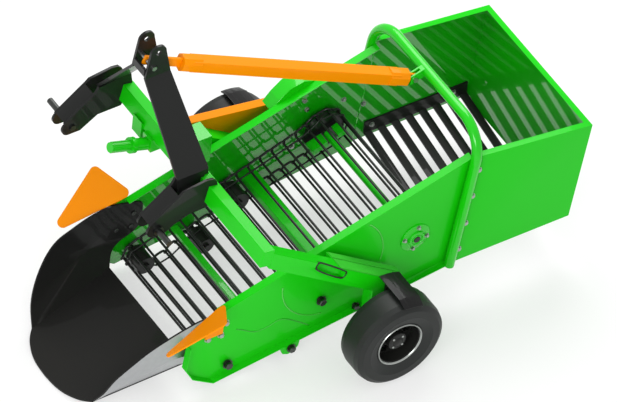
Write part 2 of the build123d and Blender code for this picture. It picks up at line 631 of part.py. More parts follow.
def bracket_plate(back):
    """Plate with a rounded nose round the pin and the given outline behind it."""
    outline = [(nose_y - 27, nose_z + 34)] + back + [(nose_y, nose_z - NOSE_R)]
    face = make_face(Polyline(*outline, close=True)) + Pos(nose_y, nose_z) * Circle(NOSE_R)
    return extrude(Plane.YZ * face, amount=PLATE_T, dir=(1, 0, 0))


bracket = Pos(BRACKET_IN, 0, 0) * bracket_plate(INNER_PLATE)
bracket += Pos(BRACKET_OUT - PLATE_T, 0, 0) * bracket_plate(OUTER_PLATE)
bracket += ribbon([BRACKET_WEB_END, web_start], BRACKET_WEB_T, BRACKET_IN + PLATE_T, BRACKET_OUT - PLATE_T)
bracket -= rod_x(BRACKET_IN - 10, BRACKET_OUT + 10, PIN_Y, PIN_Z, PIN_R)
parts["link_bracket_left"] = (Pos(HITCH_X, 0, 0) * bracket) - beam
parts["link_bracket_right"] = (Pos(HITCH_X, 0, 0) * mirrored(bracket)) - beam
pin = rod_x(BRACKET_IN - 8, BRACKET_OUT + PIN_COLLAR + PIN_FREE, PIN_Y, PIN_Z, PIN_R)
pin += rod_x(BRACKET_OUT, BRACKET_OUT + PIN_COLLAR, PIN_Y, PIN_Z, PIN_COLLAR_R)
parts["link_pin_left"] = Pos(HITCH_X, 0, 0) * pin
parts["link_pin_right"] = Pos(HITCH_X, 0, 0) * mirrored(pin)

# Mast legs: bent plates with an ear on top, their feet between the bracket's plates
leg_foot_x = BRACKET_IN + PLATE_T + PLATE_T / 2
ear_mid = EAR_HALF - PLATE_T / 2
leg_chain = [(ear_mid, MAST_TOP_Z), (ear_mid, EAR_BEND_Z), (leg_foot_x, FOOT_BEND_Z), (leg_foot_x, FOOT_LOW_Z)]
outer_chain = side_offset(leg_chain, PLATE_T / 2)
inner_chain = side_offset(leg_chain, -PLATE_T / 2)
leg_face = Plane.XZ * make_face(Polyline(*(outer_chain + inner_chain[::-1]), close=True))
leg_solid = Pos(0, LEG_BACK[0][0] + 100, 0) * extrude(leg_face, amount=350, dir=(0, -1, 0))
ear_y, ear_z = TOP_PIN
leg_shape = make_face(Polyline(
    *LEG_FRONT, (ear_y - EAR_R, ear_z), (ear_y + EAR_R, ear_z), *LEG_BACK, close=True))
leg_shape = Plane.YZ * (leg_shape + Pos(ear_y, ear_z) * Circle(EAR_R))
leg_solid = leg_solid & extrude(leg_shape, amount=BRACKET_OUT, dir=(1, 0, 0))
leg_solid -= rod_x(-10, 200, ear_y, ear_z, TOP_PIN_R)
leg_solid -= rod_x(-10, 200, BRACE_PIN[0], BRACE_PIN[1], BRACE_PIN_R)
for side_name, solid in (("left", leg_solid), ("right", mirrored(leg_solid))):
    placed = Pos(HITCH_X, 0, 0) * solid
    parts["mast_leg_" + side_name] = (placed - parts["link_bracket_" + side_name]) - beam

strap_y = LEG_FRONT[-1][0]
parts["mast_strap"] = block(
    (HITCH_X - EAR_HALF + PLATE_T, HITCH_X + EAR_HALF - PLATE_T), (strap_y, strap_y + PLATE_T), STRAP_Z,
)

# Top brace from the mast to the hoop
start = Vector(HITCH_X, BRACE_PIN[0], BRACE_PIN[1])
stop = Vector(*BRACE_REAR)
run = stop - start
brace_plane = Plane(origin=start, x_dir=(run.Y, -run.X, 0), z_dir=run)
length = run.length
block_shape = chamfer(Rectangle(BRACE_W + BLOCK_EXTRA, BRACE_H + BLOCK_EXTRA).vertices(), BLOCK_CHAMFER)


def brace_piece(profile, begin, end):
    """Stretch of the brace between two distances from the mast's pin."""
    return extrude(brace_plane.offset(begin) * profile, amount=end - begin)


tube_begin = BRACE_FRONT + BLOCK_LONG / 2
tube_end = length - BRACE_BACK - BLOCK_LONG / 2
brace = brace_piece(Rectangle(BRACE_W, BRACE_H), tube_begin, tube_end)
brace += brace_piece(block_shape, BRACE_FRONT, BRACE_FRONT + BLOCK_LONG)
brace += brace_piece(block_shape, length - BRACE_BACK - BLOCK_LONG, length - BRACE_BACK)
brace += brace_piece(Rectangle(*TONGUE), -TONGUE_END, tube_begin)
brace += brace_piece(Rectangle(*TONGUE), tube_end, length + TONGUE_END)
pin_half = EAR_HALF + PIN_STAND
brace_pin_front = rod_x(HITCH_X - pin_half, HITCH_X + pin_half, BRACE_PIN[0], BRACE_PIN[1], BRACE_PIN_R)
brace_pin_rear = rod_x(brace_x - 22, brace_x + 22, brace_y, brace_z, BRACE_PIN_R)
brace -= [brace_pin_front, brace_pin_rear]
parts["top_brace"] = brace - parts["hoop"]
parts["brace_pins"] = Compound(children=[brace_pin_front, brace_pin_rear])

# Gearbox with its output shaft, and the input stub with its tube that hangs from the beam
gearbox = block(*GEARBOX) + output
end_y, end_z = PTO_END
tilt = math.radians(PTO_TILT)
tube_length = (GEARBOX[1][0] - end_y) / math.cos(tilt)
axis = Pos(PTO_X, end_y, end_z) * Rot(-90 - PTO_TILT, 0, 0)
collar_r, collar_long = PTO_COLLAR
tube_from = PTO_FREE + collar_long - 2
tube_to = tube_length + PTO_TUBE_R
input_tube = Pos(0, 0, (tube_from + tube_to) / 2) * Cylinder(PTO_TUBE_R, tube_to - tube_from)
stub = Pos(0, 0, (PTO_FREE + 4) / 2) * Cylinder(PTO_R, PTO_FREE + 4)
collar = Pos(0, 0, PTO_FREE + collar_long / 2) * Cylinder(collar_r, collar_long)
pto = axis * (stub + collar + input_tube)
hanger = block((PTO_X - 32, PTO_X + 32), *PTO_HANGER)
pto += hanger - beam
parts["pto_stub"] = pto - gearbox
parts["gearbox"] = gearbox

# Chain case from the gearbox to the drive axle, and the hood over the drive
case_back = Pos(dy, dz) * Circle(CASE_REAR_R)
case_front = Pos(output_y, output_z) * Circle(output_r)
front_circle = (output_y, output_z, output_r)
back_circle = (dy, dz, CASE_REAR_R)
over = tangent(front_circle, back_circle, 1)
under = tangent(front_circle, back_circle, -1)
case_body = make_face(Polyline(over[0], over[1], under[1], under[0], close=True)) + case_front + case_back
case = Pos(CASE_X[0], 0, 0) * extrude(Plane.YZ * case_body, amount=CASE_X[1] - CASE_X[0], dir=(1, 0, 0))
parts["chain_case"] = case
parts["drive_hood"] = slab(HOOD, -WALL_X - HOOD_DEEP, -WALL_X)

# The right linkage pin reaches further out than the left wheel: the machine moves over to its middle
reach_right = BRACKET_OUT + PIN_COLLAR + PIN_FREE - HITCH_X
reach_left = WHEEL_X + TYRE_W / 2
middle_x = (reach_right - reach_left) / 2

for name, solid in parts.items():
    solid = Pos(middle_x, 0, 0) * solid
    solid.label = name
    export_step(solid, os.path.join(OUT, name + ".step"))
    box = solid.bounding_box()
    print(name, [round(v) for v in (box.min.X, box.max.X, box.min.Y, box.max.Y, box.min.Z, box.max.Z)])
print("moved over by", middle_x)
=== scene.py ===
# %% [markdown]
# # A one-row potato digger in Blender
# The machine hangs behind a small tractor. A share lifts the row, a web of steel rods shakes the
# soil out, and a box catches the potatoes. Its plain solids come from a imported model, and this
# script gives them the looks of a new machine in a studio. It loads the solids first, because each
# piece made later sits on one of them.

# %% Load the frame
import bpy
import bmesh
import math
from mathutils import Matrix, Vector


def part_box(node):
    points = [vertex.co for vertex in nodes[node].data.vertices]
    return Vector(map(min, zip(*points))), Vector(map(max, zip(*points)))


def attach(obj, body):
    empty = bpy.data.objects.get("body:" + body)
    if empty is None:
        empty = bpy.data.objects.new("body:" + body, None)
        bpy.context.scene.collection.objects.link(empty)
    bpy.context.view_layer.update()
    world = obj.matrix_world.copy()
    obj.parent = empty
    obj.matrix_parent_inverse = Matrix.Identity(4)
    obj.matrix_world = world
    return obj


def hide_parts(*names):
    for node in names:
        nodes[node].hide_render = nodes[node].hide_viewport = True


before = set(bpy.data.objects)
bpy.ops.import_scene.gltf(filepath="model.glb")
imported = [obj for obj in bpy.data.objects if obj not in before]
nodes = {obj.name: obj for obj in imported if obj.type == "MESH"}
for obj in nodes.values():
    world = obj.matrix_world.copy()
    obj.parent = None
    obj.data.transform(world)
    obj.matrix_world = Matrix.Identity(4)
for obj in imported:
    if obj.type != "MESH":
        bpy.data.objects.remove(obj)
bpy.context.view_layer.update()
left_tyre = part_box("tyre_left")
right_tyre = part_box("tyre_right")
MIDDLE = (left_tyre[1].x + right_tyre[0].x) / 2
print("nodes", len(nodes), "middle of the machine", round(MIDDLE, 4))


# %% [markdown]
# Sizes on the machine are easiest in millimetres from its own middle plane, as on a drawing.
# The linkage reaches further to one side than the wheels do, so the drawing's middle is not the
# frame's middle. One small function turns drawing numbers into metres in the frame.

# %% Drawing numbers to metres
def at(x, y, z):
    """A point on the machine's drawing, in metres in the frame."""
    return Vector((x / 1000 + MIDDLE, y / 1000, z / 1000))


print("a point on the left wall's inside", at(376, 0, 400))

# %% [markdown]
# The camera comes next, so that each test picture can be laid beside the photograph. The machine
# was taken from far away with a long lens, which makes its long edges look parallel. The camera
# stands 70 metres off with a lens to match, and it is rolled a little, as in the photograph. Sizes
# are exact in one plane only. It lies at about the machine's middle depth, which is 0.4 metres
# nearer to the camera than the aimed point.

# %% Camera
LOOK_AT = at(-158.6, 185.5, 235.5)
RIGHT = Vector((0.5317, 0.8436, 0.0758)).normalized()
UP = Vector((-0.6314, 0.3351, 0.6994)).normalized()
BACK = RIGHT.cross(UP)
DISTANCE = 70.0
TRUE_DEPTH = 0.4
PHOTO_PIXELS, PIXELS_PER_MM = 617, 0.24
PICTURE_WIDTH = PHOTO_PIXELS / PIXELS_PER_MM / 1000
SENSOR = 36.0
camera_data = bpy.data.cameras.new("camera")
camera_data.sensor_width = SENSOR
camera_data.lens = SENSOR * DISTANCE / PICTURE_WIDTH
camera_data.clip_start = 0.1
camera_data.clip_end = 1000.0
camera = bpy.data.objects.new("camera", camera_data)
bpy.context.scene.collection.objects.link(camera)
turn = Matrix((RIGHT, UP, BACK)).transposed()
camera.matrix_world = Matrix.Translation(LOOK_AT + BACK * (DISTANCE + TRUE_DEPTH)) @ turn.to_4x4()
bpy.context.scene.camera = camera
bpy.context.scene.view_settings.view_transform = "Standard"
print("lens", round(camera_data.lens, 1), "mm")


# %% [markdown]
# A material is a small network of nodes. Wiring it by hand hides the idea under sockets, so two
# small classes do it. Value wraps one output and adds a Math node for each operator, so that
# `1 - dust * 0.3` reads like arithmetic. Finish makes a material and has one method that adds any
# node, first its settings and then its inputs.

# %% Values and finishes
class Value:
    """One output of a node. Arithmetic on it adds Math nodes."""

    def __init__(self, finish, socket):
        self.finish = finish
        self.socket = socket

    def math(self, operation, first, second):
        return self.finish.node("ShaderNodeMath", {"operation": operation}, {0: first, 1: second})

    def __add__(self, other):
        return self.math("ADD", self, other)

    __radd__ = __add__

    def __sub__(self, other):
        return self.math("SUBTRACT", self, other)

    def __rsub__(self, other):
        return self.math("SUBTRACT", other, self)

    def __mul__(self, other):
        return self.math("MULTIPLY", self, other)

    __rmul__ = __mul__

    def __truediv__(self, other):
        return self.math("DIVIDE", self, other)

    def above(self, limit):
        return self.math("GREATER_THAN", self, limit)

    def below(self, limit):
        return self.math("LESS_THAN", self, limit)

    def size(self):
        return self.math("ABSOLUTE", self, 0.0)


class Finish:
    """A material and its nodes."""

    def __init__(self, name):
        self.material = bpy.data.materials.new(name)
        self.material.use_nodes = True
        self.tree = self.material.node_tree
        self.tree.nodes.clear()
        self.place = self.node("ShaderNodeTexCoord", out="Object")

    def node(self, kind, settings=None, inputs=None, out=0):
        made = self.tree.nodes.new(kind)
        for key, value in (settings or {}).items():
            setattr(made, key, value)
        for key, value in (inputs or {}).items():
            if isinstance(value, Value):
                self.tree.links.new(value.socket, made.inputs[key])
            else:
                made.inputs[key].default_value = value
        return Value(self, made.outputs[out])

    def noise(self, scale, detail=3.0, rough=0.5):
        return self.node("ShaderNodeTexNoise", {}, {
            "Vector": self.place, "Scale": scale, "Detail": detail, "Roughness": rough})

    def axis(self, name):
        return self.node("ShaderNodeSeparateXYZ", {}, {0: self.place}, out=name)

    def mix(self, amount, first, second):
        kind = {"data_type": "RGBA"}
        return self.node("ShaderNodeMix", kind, {0: amount, 6: first, 7: second}, out=2)

    def bump(self, height, distance, strength):
        inputs = {"Height": height, "Distance": distance, "Strength": strength}
        return self.node("ShaderNodeBump", {}, inputs)

    def surface(self, inputs):
        self.end(self.node("ShaderNodeBsdfPrincipled", {}, inputs))
        return self.material

    def end(self, shader):
        output = self.tree.nodes.new("ShaderNodeOutputMaterial")
        self.tree.links.new(shader.socket, output.inputs[0])


def colour(red, green, blue):
    """A screen colour, 0 to 255, as the linear colour that Blender works in."""
    linear = []
    for part in (red, green, blue):
        part = part / 255
        linear.append(part / 12.92 if part <= 0.04045 else ((part + 0.055) / 1.055) ** 2.4)
    return linear


print("green in linear light", [round(part, 3) for part in colour(38, 195, 28)])


# %% [markdown]
# New farm machines wear powder paint. It lies thick and even, with a faint orange-peel ripple, and
# its colour hardly changes. A strong white sheen would wash the green out, so the shader's own
# reflection is kept low, and a clear coat carries what gloss there is.

# %% Paint
PLAIN_GREEN, PLAIN_GREEN_CLOUD = (18, 196, 8), (12, 182, 5)
DUST = (120, 116, 96)
DUST_TOP = 0.35


def paint(name, screen, darker, roughness=0.3, coat=0.12, sheen=0.12):
    """Powder paint of one colour, with clouds of a darker one and a little dust low down."""
    finish = Finish(name)
    clouds = finish.noise(3.0, 4.0)
    speckle = finish.noise(900.0, 2.0)
    peel = finish.noise(260.0, 2.0)
    height = finish.axis("Z")
    near_ground = (1.0 - height / DUST_TOP) * clouds
    dust = near_ground.math("MAXIMUM", near_ground, 0.0) * 0.35
    base = finish.mix(clouds * 0.35, (*colour(*screen), 1), (*colour(*darker), 1))
    base = finish.mix(dust * 0.12, base, (*colour(*DUST), 1))
    return finish.surface({
        "Base Color": base,
        "Roughness": roughness + clouds * 0.06 + dust * 0.3,
        "Coat Weight": coat,
        "Coat Roughness": 0.03,
        "Coat IOR": 1.5,
        "Specular IOR Level": sheen,
        "Normal": finish.bump(peel + speckle * 0.2, 0.0002, 0.25),
    })


GREEN = paint("green_paint", PLAIN_GREEN, PLAIN_GREEN_CLOUD)
BRIGHT_GREEN = paint("green_gloss", (22, 196, 12), (14, 180, 6), 0.22, 0.5, 0.2)
# A paler green with a strong coat, used as a painted highlight on the arm's top and on the wall's
# bead.
HIGHLIGHT_GREEN = paint("green_painted_highlight", (62, 190, 52), (54, 178, 46), 0.2, 0.8, 0.3)
ORANGE = paint("orange_paint", (240, 140, 0), (230, 128, 0), 0.3, 0.1, 0.06)
BLACK = paint("black_paint", (27, 28, 27), (20, 21, 20), 0.34, 0.22, 0.15)
SHARE_BLACK = paint("share_black", (27, 27, 27), (22, 22, 22), 0.28, 0.12, 0.1)
SPRING = paint("spring_steel", (27, 29, 28), (20, 21, 21), 0.35, 0.25, 0.2)
print("paints made", GREEN.name, ORANGE.name, BLACK.name)


# %% [markdown]
# The far wall and the box have two faces that look different: a mirror inside, darkened by painted
# shade because less light reaches the inside of the machine, and the plain green outside. The
# direction that a face looks in tells them apart, because the inside faces look left, or forward at
# the box's rear wall. That mask changes the colour to the painted shade and sets the coat's weight.

# %% Mirror and painted shade inside, plain outside
# The inside greens are darker as painted shade: less light reaches the inside of the machine.
SHADED_INSIDE_GREEN, SHADED_INSIDE_GREEN_CLOUD = (12, 158, 4), (8, 140, 2)


def two_faced_paint():
    """A mirror darkened by painted shade on faces that look into the box, and plain paint on the
    others.
    """
    finish = Finish("green_mirror_painted_shade")
    facing = finish.node("ShaderNodeTexCoord", out="Normal")
    leftward = finish.node("ShaderNodeSeparateXYZ", {}, {0: facing}, out="X").above(0.5)
    forward = finish.node("ShaderNodeSeparateXYZ", {}, {0: facing}, out="Y").below(-0.5)
    inside = leftward.math("MAXIMUM", leftward, forward)
    clouds = finish.noise(3.0, 4.0)
    peel = finish.noise(260.0, 2.0)
    # Painted shade: the darker green for the faces inside the box.
    dark = finish.mix(clouds * 0.35, (*colour(*SHADED_INSIDE_GREEN), 1), (*colour(*SHADED_INSIDE_GREEN_CLOUD), 1))
    outer = finish.mix(clouds * 0.35, (*colour(*PLAIN_GREEN), 1), (*colour(*PLAIN_GREEN_CLOUD), 1))
    return finish.surface({
        "Base Color": finish.mix(inside, outer, dark),
        "Roughness": 0.26 + clouds * 0.06,
        "Coat Weight": 0.06 + inside * 0.94,
        "Coat Roughness": 0.03,
        "Coat IOR": 1.75,
        "Specular IOR Level": 0.1,
        "Normal": finish.bump(peel, 0.0002, 0.25),
    })


GREEN_WITH_PAINTED_SHADE = two_faced_paint()
print("two-faced paint made")


# %% [markdown]
# Bolts and pins are bare or zinc-plated steel: a metal, slightly rough, with small cloudy changes
# in its colour. The outer faces of the share's sides get a bright steel of this kind as a painted
# reflection: their glossy black paint mirrors the pale floor. Rubber is nearly black and rough, and
# its tone changes softly where it has been handled.

# %% Metals and rubber
def metal(name, screen, roughness, spread):
    """Bare steel, with clouds that are darker by a factor."""
    finish = Finish(name)
    darker = [part * spread for part in screen]
    clouds = finish.noise(40.0, 4.0)
    fine = finish.noise(700.0, 2.0)
    tone = finish.mix(clouds, (*colour(*screen), 1), (*colour(*darker), 1))
    return finish.surface({
        "Base Color": tone,
        "Metallic": 1.0,
        "Roughness": roughness + fine * 0.12,
        "Normal": finish.bump(fine, 0.0001, 0.3),
    })


def rubber():
    finish = Finish("tyre_rubber")
    clouds = finish.noise(9.0, 3.0)
    grain = finish.noise(1200.0, 2.0)
    tone = finish.mix(clouds, (*colour(27, 29, 28), 1), (*colour(33, 36, 34), 1))
    return finish.surface({
        "Base Color": tone,
        "Roughness": 0.42 + grain * 0.15,
        "Specular IOR Level": 0.3,
        "Normal": finish.bump(grain, 0.0002, 0.3),
    })


ZINC = metal("zinc_plate", (190, 194, 190), 0.25, 0.75)
DARK_STEEL = metal("dark_steel", (92, 94, 92), 0.3, 0.7)
# Painted reflection: bright steel for the share sides' outer faces, which are glossy black paint
# mirroring the floor.
SHARE_SIDE_REFLECTION = metal("share_side_painted_reflection", (186, 188, 190), 0.32, 0.92)
RUBBER = rubber()


# %% [markdown]
# The drive axle is one solid that changes colour along its length. Its tube is green like the
# walls, and the toothed wheels at its ends are black. A mask does this: the distance from the
# machine's middle plane, compared with the place where the tube ends.

# %% Two colours on one axle
TUBE_END = 0.306


def axle_finish():
    finish = Finish("axle_green_and_black")
    across = (finish.axis("X") - MIDDLE).size()
    grain = finish.noise(300.0, 2.0)
    on_tube = across.below(TUBE_END)
    tone = finish.mix(on_tube, (*colour(24, 26, 25), 1), (*colour(16, 182, 8), 1))
    return finish.surface({
        "Base Color": tone,
        "Roughness": 0.28 + grain * 0.1,
        "Coat Weight": 0.3,
        "Coat Roughness": 0.05,
        "Specular IOR Level": 0.2,
        "Normal": finish.bump(grain, 0.0001, 0.3),
    })


AXLE = axle_finish()
print("metals, rubber and the axle's finish made")


# %% [markdown]
# Folded plates never have razor edges. A small rounding along each edge catches a line of light,
# and that line is what tells the eye that the plate is steel. A copy of each solid gets this
# rounding from a Bevel modifier, and the copy then stands in for the solid.

# %% Rounded copies of the solids
def finish_mesh(mesh, angle):
    """Smooth shading, with a crease where faces meet at more than an angle."""
    mesh.shade_smooth()
    mesh.set_sharp_from_angle(angle=math.radians(angle))


def link(name, mesh, material, body="frame"):
    """Puts a mesh in the scene with one material, riding on a body."""
    piece = bpy.data.objects.new(name, mesh)
    bpy.context.scene.collection.objects.link(piece)
    if len(mesh.materials):
        mesh.materials.clear()
    mesh.materials.append(material)
    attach(piece, body)
    return piece


ROUNDING = 0.0015


def rounded(node, material):
    """A copy of a solid with rounded edges, which replaces it."""
    mesh = nodes[node].data.copy()
    work = bmesh.new()
    work.from_mesh(mesh)
    bmesh.ops.remove_doubles(work, verts=work.verts, dist=0.00002)
    flat = math.radians(0.5)
    bmesh.ops.dissolve_limit(work, angle_limit=flat, verts=work.verts, edges=work.edges)
    work.to_mesh(mesh)
    work.free()
    piece = link(node + "_finished", mesh, material)
    bevel = piece.modifiers.new("rounding", "BEVEL")
    bevel.width = ROUNDING
    bevel.segments = 2
    bevel.limit_method = "ANGLE"
    bevel.angle_limit = math.radians(30)
    bevel.use_clamp_overlap = True
    finish_mesh(mesh, 40.0)
    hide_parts(node)


plates = {
    GREEN: [
        "side_wall_left", "box_wall_left", "main_beam", "arm_left", "arm_right", "cross_channel",
    ],
    BRIGHT_GREEN: ["gearbox", "drive_hood", "cross_tube"],
    GREEN_WITH_PAINTED_SHADE: ["side_wall_right", "box_wall_right", "box_rear"],
    ORANGE: ["divider_left", "divider_right", "chain_case", "top_brace"],
    BLACK: [
        "grate", "link_bracket_left", "link_bracket_right", "mast_leg_left", "mast_leg_right",
        "mast_strap",
    ],
    SHARE_BLACK: ["scraper_left", "scraper_right"],
}
for material, names in plates.items():
    for node in names:
        rounded(node, material)
print("rounded", sum(len(names) for names in plates.values()), "plates")

# %% [markdown]
# The rest of the solids keep their own meshes and get a finish in their material slots.

# %% Finishes on the solids that stay
plain = {
    BRIGHT_GREEN: ["hoop", "pto_stub"],
    BLACK: ["front_roller", "return_roller", "support_roller", "rim_left", "rim_right", "tie_rod"],
    DARK_STEEL: ["link_pin_left", "link_pin_right"],
    ZINC: ["brace_pins"],
    RUBBER: ["tyre_left", "tyre_right"],
    AXLE: ["drive_axle"],
}
for material, names in plain.items():
    for node in names:
        mesh = nodes[node].data
        mesh.materials.clear()
        mesh.materials.append(material)
print("plain nodes", sum(len(names) for names in plain.values()))


# %% [markdown]
# The web is the heart of a digger: forty round rods, each hooked at both ends round the next one.
# From the side the hooks make a scalloped band along each wall. The rods sit at one even step
# along a closed path over the rollers, so the path is worked out first from the axles, as a belt
# is drawn.

# %% The web's path
FRONT_AXLE, DRIVE_AXLE, RETURN_AXLE = (-550, 115), (354, 427), (-250, 88)
WEB_KNEE, WEB_SAG = (245, 459), [(-390, 46), (-450, 28)]
WEB_STEP, WEB_RODS, WEB_START = 60, 40, 43
FRONT_TURN_R, RETURN_TURN_R, TEETH = 56, 53, 10
DRIVE_R = WEB_STEP / 2 / math.sin(math.pi / TEETH)
corners = [(*FRONT_AXLE, FRONT_TURN_R), (*WEB_KNEE, 0), (*DRIVE_AXLE, DRIVE_R)]
corners += [(*RETURN_AXLE, -RETURN_TURN_R)] + [(*point, 0) for point in WEB_SAG]


def tangent(first, second):
    """Ends and normal of the line that touches two circles (y, z, radius) on one side."""
    start, stop = Vector(first[:2]), Vector(second[:2])
    along = (stop - start).normalized()
    lean = (first[2] - second[2]) / (stop - start).length
    out = math.sqrt(1 - lean * lean)
    normal = Vector((along.x * lean - along.y * out, along.y * lean + along.x * out))
    return start + normal * first[2], stop + normal * second[2], normal


def web_path(steps=24):
    """Points along the closed path. A negative radius turns the path the other way."""
    runs = [tangent(corners[i], corners[(i + 1) % len(corners)]) for i in range(len(corners))]
    path = []
    for i, (start, stop, normal) in enumerate(runs):
        path += [start, stop]
        y, z, radius = corners[(i + 1) % len(corners)]
        if radius == 0:
            continue
        after = runs[(i + 1) % len(corners)][2]
        angle = math.atan2(normal.y, normal.x)
        swing = (angle - math.atan2(after.y, after.x)) % (2 * math.pi)
        if radius < 0:
            swing -= 2 * math.pi
        for k in range(1, steps):
            turned = angle - swing * k / steps
            path.append(Vector((y + radius * math.cos(turned), z + radius * math.sin(turned))))
    return path + [path[0]]


def even_points(path, count, start):
    """Points spaced evenly along a closed path."""
    lengths = [(b - a).length for a, b in zip(path, path[1:])]
    step = sum(lengths) / count
    points, target, walked = [], start, 0.0
    for a, b, length in zip(path, path[1:], lengths):
        while target < walked + length - 1e-6 and len(points) < count:
            points.append(a + (b - a) * ((target - walked) / length))
            target += step
        walked += length
    return points


rod_places = even_points(web_path(), WEB_RODS, WEB_START)
print("rods", len(rod_places), "first at", [round(part, 1) for part in rod_places[0]])


# %% [markdown]
# Each rod is bent at both ends: it turns forward, runs to the next rod and hooks over it. A short
# loop of wire beside the hooks joins the same two rods again. The hook is a list of steps from the
# rod's end, so every rod has the same one, turned to the way that the web runs there.

# %% Rods with hooked ends
ROD_R = 5.5
ROD_END = 352
ROD_STRAIGHT = 200
LINK_X, LINK_R = 310, 4.0
LINK_REACH, LINK_RISE = 9, 5
# Each step is (outward, forward, up) from the end of the rod, in millimetres
HOOK = [(-6, 0, 0), (0, 7, 0), (0, 44, 0), (-3, 54, 7), (-9, 63, 8), (-11, 69, 1), (-11, 63, -8)]


def wire(name, runs, radius, material, sides=2, closed=False, body="frame"):
    """Round wire along lists of points (x, y, z) on the drawing."""
    data = bpy.data.curves.new(name, "CURVE")
    data.dimensions = "3D"
    data.bevel_depth = radius / 1000
    data.bevel_resolution = sides
    data.use_fill_caps = True
    data.resolution_u = 3
    for run in runs:
        spline = data.splines.new("NURBS")
        spline.points.add(len(run) - 1)
        for point, place in zip(spline.points, run):
            point.co = (*at(*place), 1)
        spline.order_u = 3
        spline.use_endpoint_u = not closed
        spline.use_cyclic_u = closed
    data.materials.append(material)
    piece = bpy.data.objects.new(name, data)
    bpy.context.scene.collection.objects.link(piece)
    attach(piece, body)
    return piece


def link_spots(place, after, along, out):
    """A link's points: it lies over two rods and comes down past each of them."""
    begin = place - along * 8 + out * 3
    stop = after + along * 8 + out * 3
    over = out * LINK_RISE
    spots = [place - along * LINK_REACH, begin + over, place + along * LINK_REACH + over]
    return spots + [after - along * LINK_REACH + over, stop + over, after + along * LINK_REACH]


rods = []
links = []
for place, after in zip(rod_places, rod_places[1:] + rod_places[:1]):
    along = (after - place).normalized()
    out = Vector((-along.y, along.x))
    ends = {}
    for side in (-1, 1):
        ends[side] = []
        for outward, forward, high in HOOK:
            spot = place + along * forward + out * high
            ends[side].append((side * (ROD_END + outward), spot.x, spot.y))
        spots = link_spots(place, after, along, out)
        links.append([(side * LINK_X, spot.x, spot.y) for spot in spots])
    straight = [(x, place.x, place.y) for x in (-ROD_STRAIGHT, ROD_STRAIGHT)]
    rods.append(ends[-1][::-1] + straight + ends[1])
web = wire("hooked_rods", rods, ROD_R, SPRING)
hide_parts("rod_web")
wire("web_links", links, LINK_R, SPRING, 1)
print("rods", len(rods), "links", len(links))


# %% [markdown]
# Nuts and bolts are the small change of a machine, and the eye misses them when they are gone. One
# function draws a bolt: a thin washer, then a six-sided head with its corners turned off. All the
# bolts of one colour go into a single mesh, which keeps the scene easy to handle.

# %% Bolts
ROUND = 24
# Each ring is (six-sided, radius in widths, height in heights), from the washer up to the top
BOLT_RINGS = [
    (False, 0.62, 0.0), (False, 0.62, 0.12), (True, 0.5, 0.12), (True, 0.5, 0.82), (True, 0.4, 1.0),
]


def bolt_mesh(name, places, material, body="frame"):
    """Six-sided heads: each place is (x, y, z, direction, width across corners, height)."""
    work = bmesh.new()
    for x, y, z, direction, across, high in places:
        facing = Vector(direction).to_track_quat("Z", "Y").to_matrix().to_4x4()
        spot = Matrix.Translation(at(x, y, z)) @ facing
        last = None
        for six_sided, wide, up in BOLT_RINGS:
            ring = []
            for k in range(ROUND):
                angle = math.tau * k / ROUND
                reach = 1.0
                if six_sided:
                    within = (angle % (math.tau / 6)) - math.tau / 12
                    reach = math.cos(math.tau / 12) / math.cos(within)
                far = wide * across * reach / 1000
                flat = (far * math.cos(angle), far * math.sin(angle), up * high / 1000)
                ring.append(work.verts.new(spot @ Vector(flat)))
            if last:
                for k in range(ROUND):
                    n = (k + 1) % ROUND
                    work.faces.new((last[k], last[n], ring[n], ring[k]))
            last = ring
        work.faces.new(last)
    mesh = bpy.data.meshes.new(name)
    work.to_mesh(mesh)
    work.free()
    finish_mesh(mesh, 25.0)
    return link(name, mesh, material, body)


LEFTWARD = (1, 0, 0)
BOX_OUTSIDE, WALL_OUTSIDE, FAR_WALL_INSIDE, GRATE_INSIDE = 402, 380, -376, -390
box_bolts = [(630, 715), (611, 569), (592, 417), (571, 273)]
near_toe_bolts = [(-572, 364), (-593, 302), (-657, 306)]
far_wall_bolts = [(286, 541), (472, 512), (577, 437), (269, 600), (227, 347)]
grate_bolts = [(644, 270), (1052, 270)]
steel_bolts = [(BOX_OUTSIDE, y, z, LEFTWARD, 22, 9) for y, z in box_bolts]
steel_bolts += [(WALL_OUTSIDE, y, z, LEFTWARD, 26, 13) for y, z in near_toe_bolts]
steel_bolts += [(FAR_WALL_INSIDE, y, z, LEFTWARD, 20, 9) for y, z in far_wall_bolts]
steel_bolts += [(GRATE_INSIDE, y, z, LEFTWARD, 20, 9) for y, z in grate_bolts]
bolt_mesh("bright_bolts", steel_bolts, ZINC)

STUB_END, LUG_END, FAR_TOE_INSIDE = 392, 418, -368
SUPPORT_AXLE, TIE_AXLE = (-103, 278), (77, 159)
far_toe_bolts = [(-560, 336), (-568, 263), (-641, 272)]
dark_bolts = [(STUB_END, *axle, LEFTWARD, 38, 20) for axle in (FRONT_AXLE, SUPPORT_AXLE)]
dark_bolts += [(STUB_END, *TIE_AXLE, LEFTWARD, 30, 16), (LUG_END, *RETURN_AXLE, LEFTWARD, 34, 16)]
dark_bolts += [(FAR_TOE_INSIDE, y, z, LEFTWARD, 24, 10) for y, z in far_toe_bolts]
bolt_mesh("dark_bolts", dark_bolts, DARK_STEEL)
print("bolts", len(steel_bolts) + len(dark_bolts))


# %% [markdown]
# The drive axle turns in a cast flange bearing: a round flange with four bolts, a raised boss and
# the ring of the bearing inside it. A shape of rings is a profile turned round an axis, so one
# function turns a list of radius and distance pairs. The wheel's parts use it too.

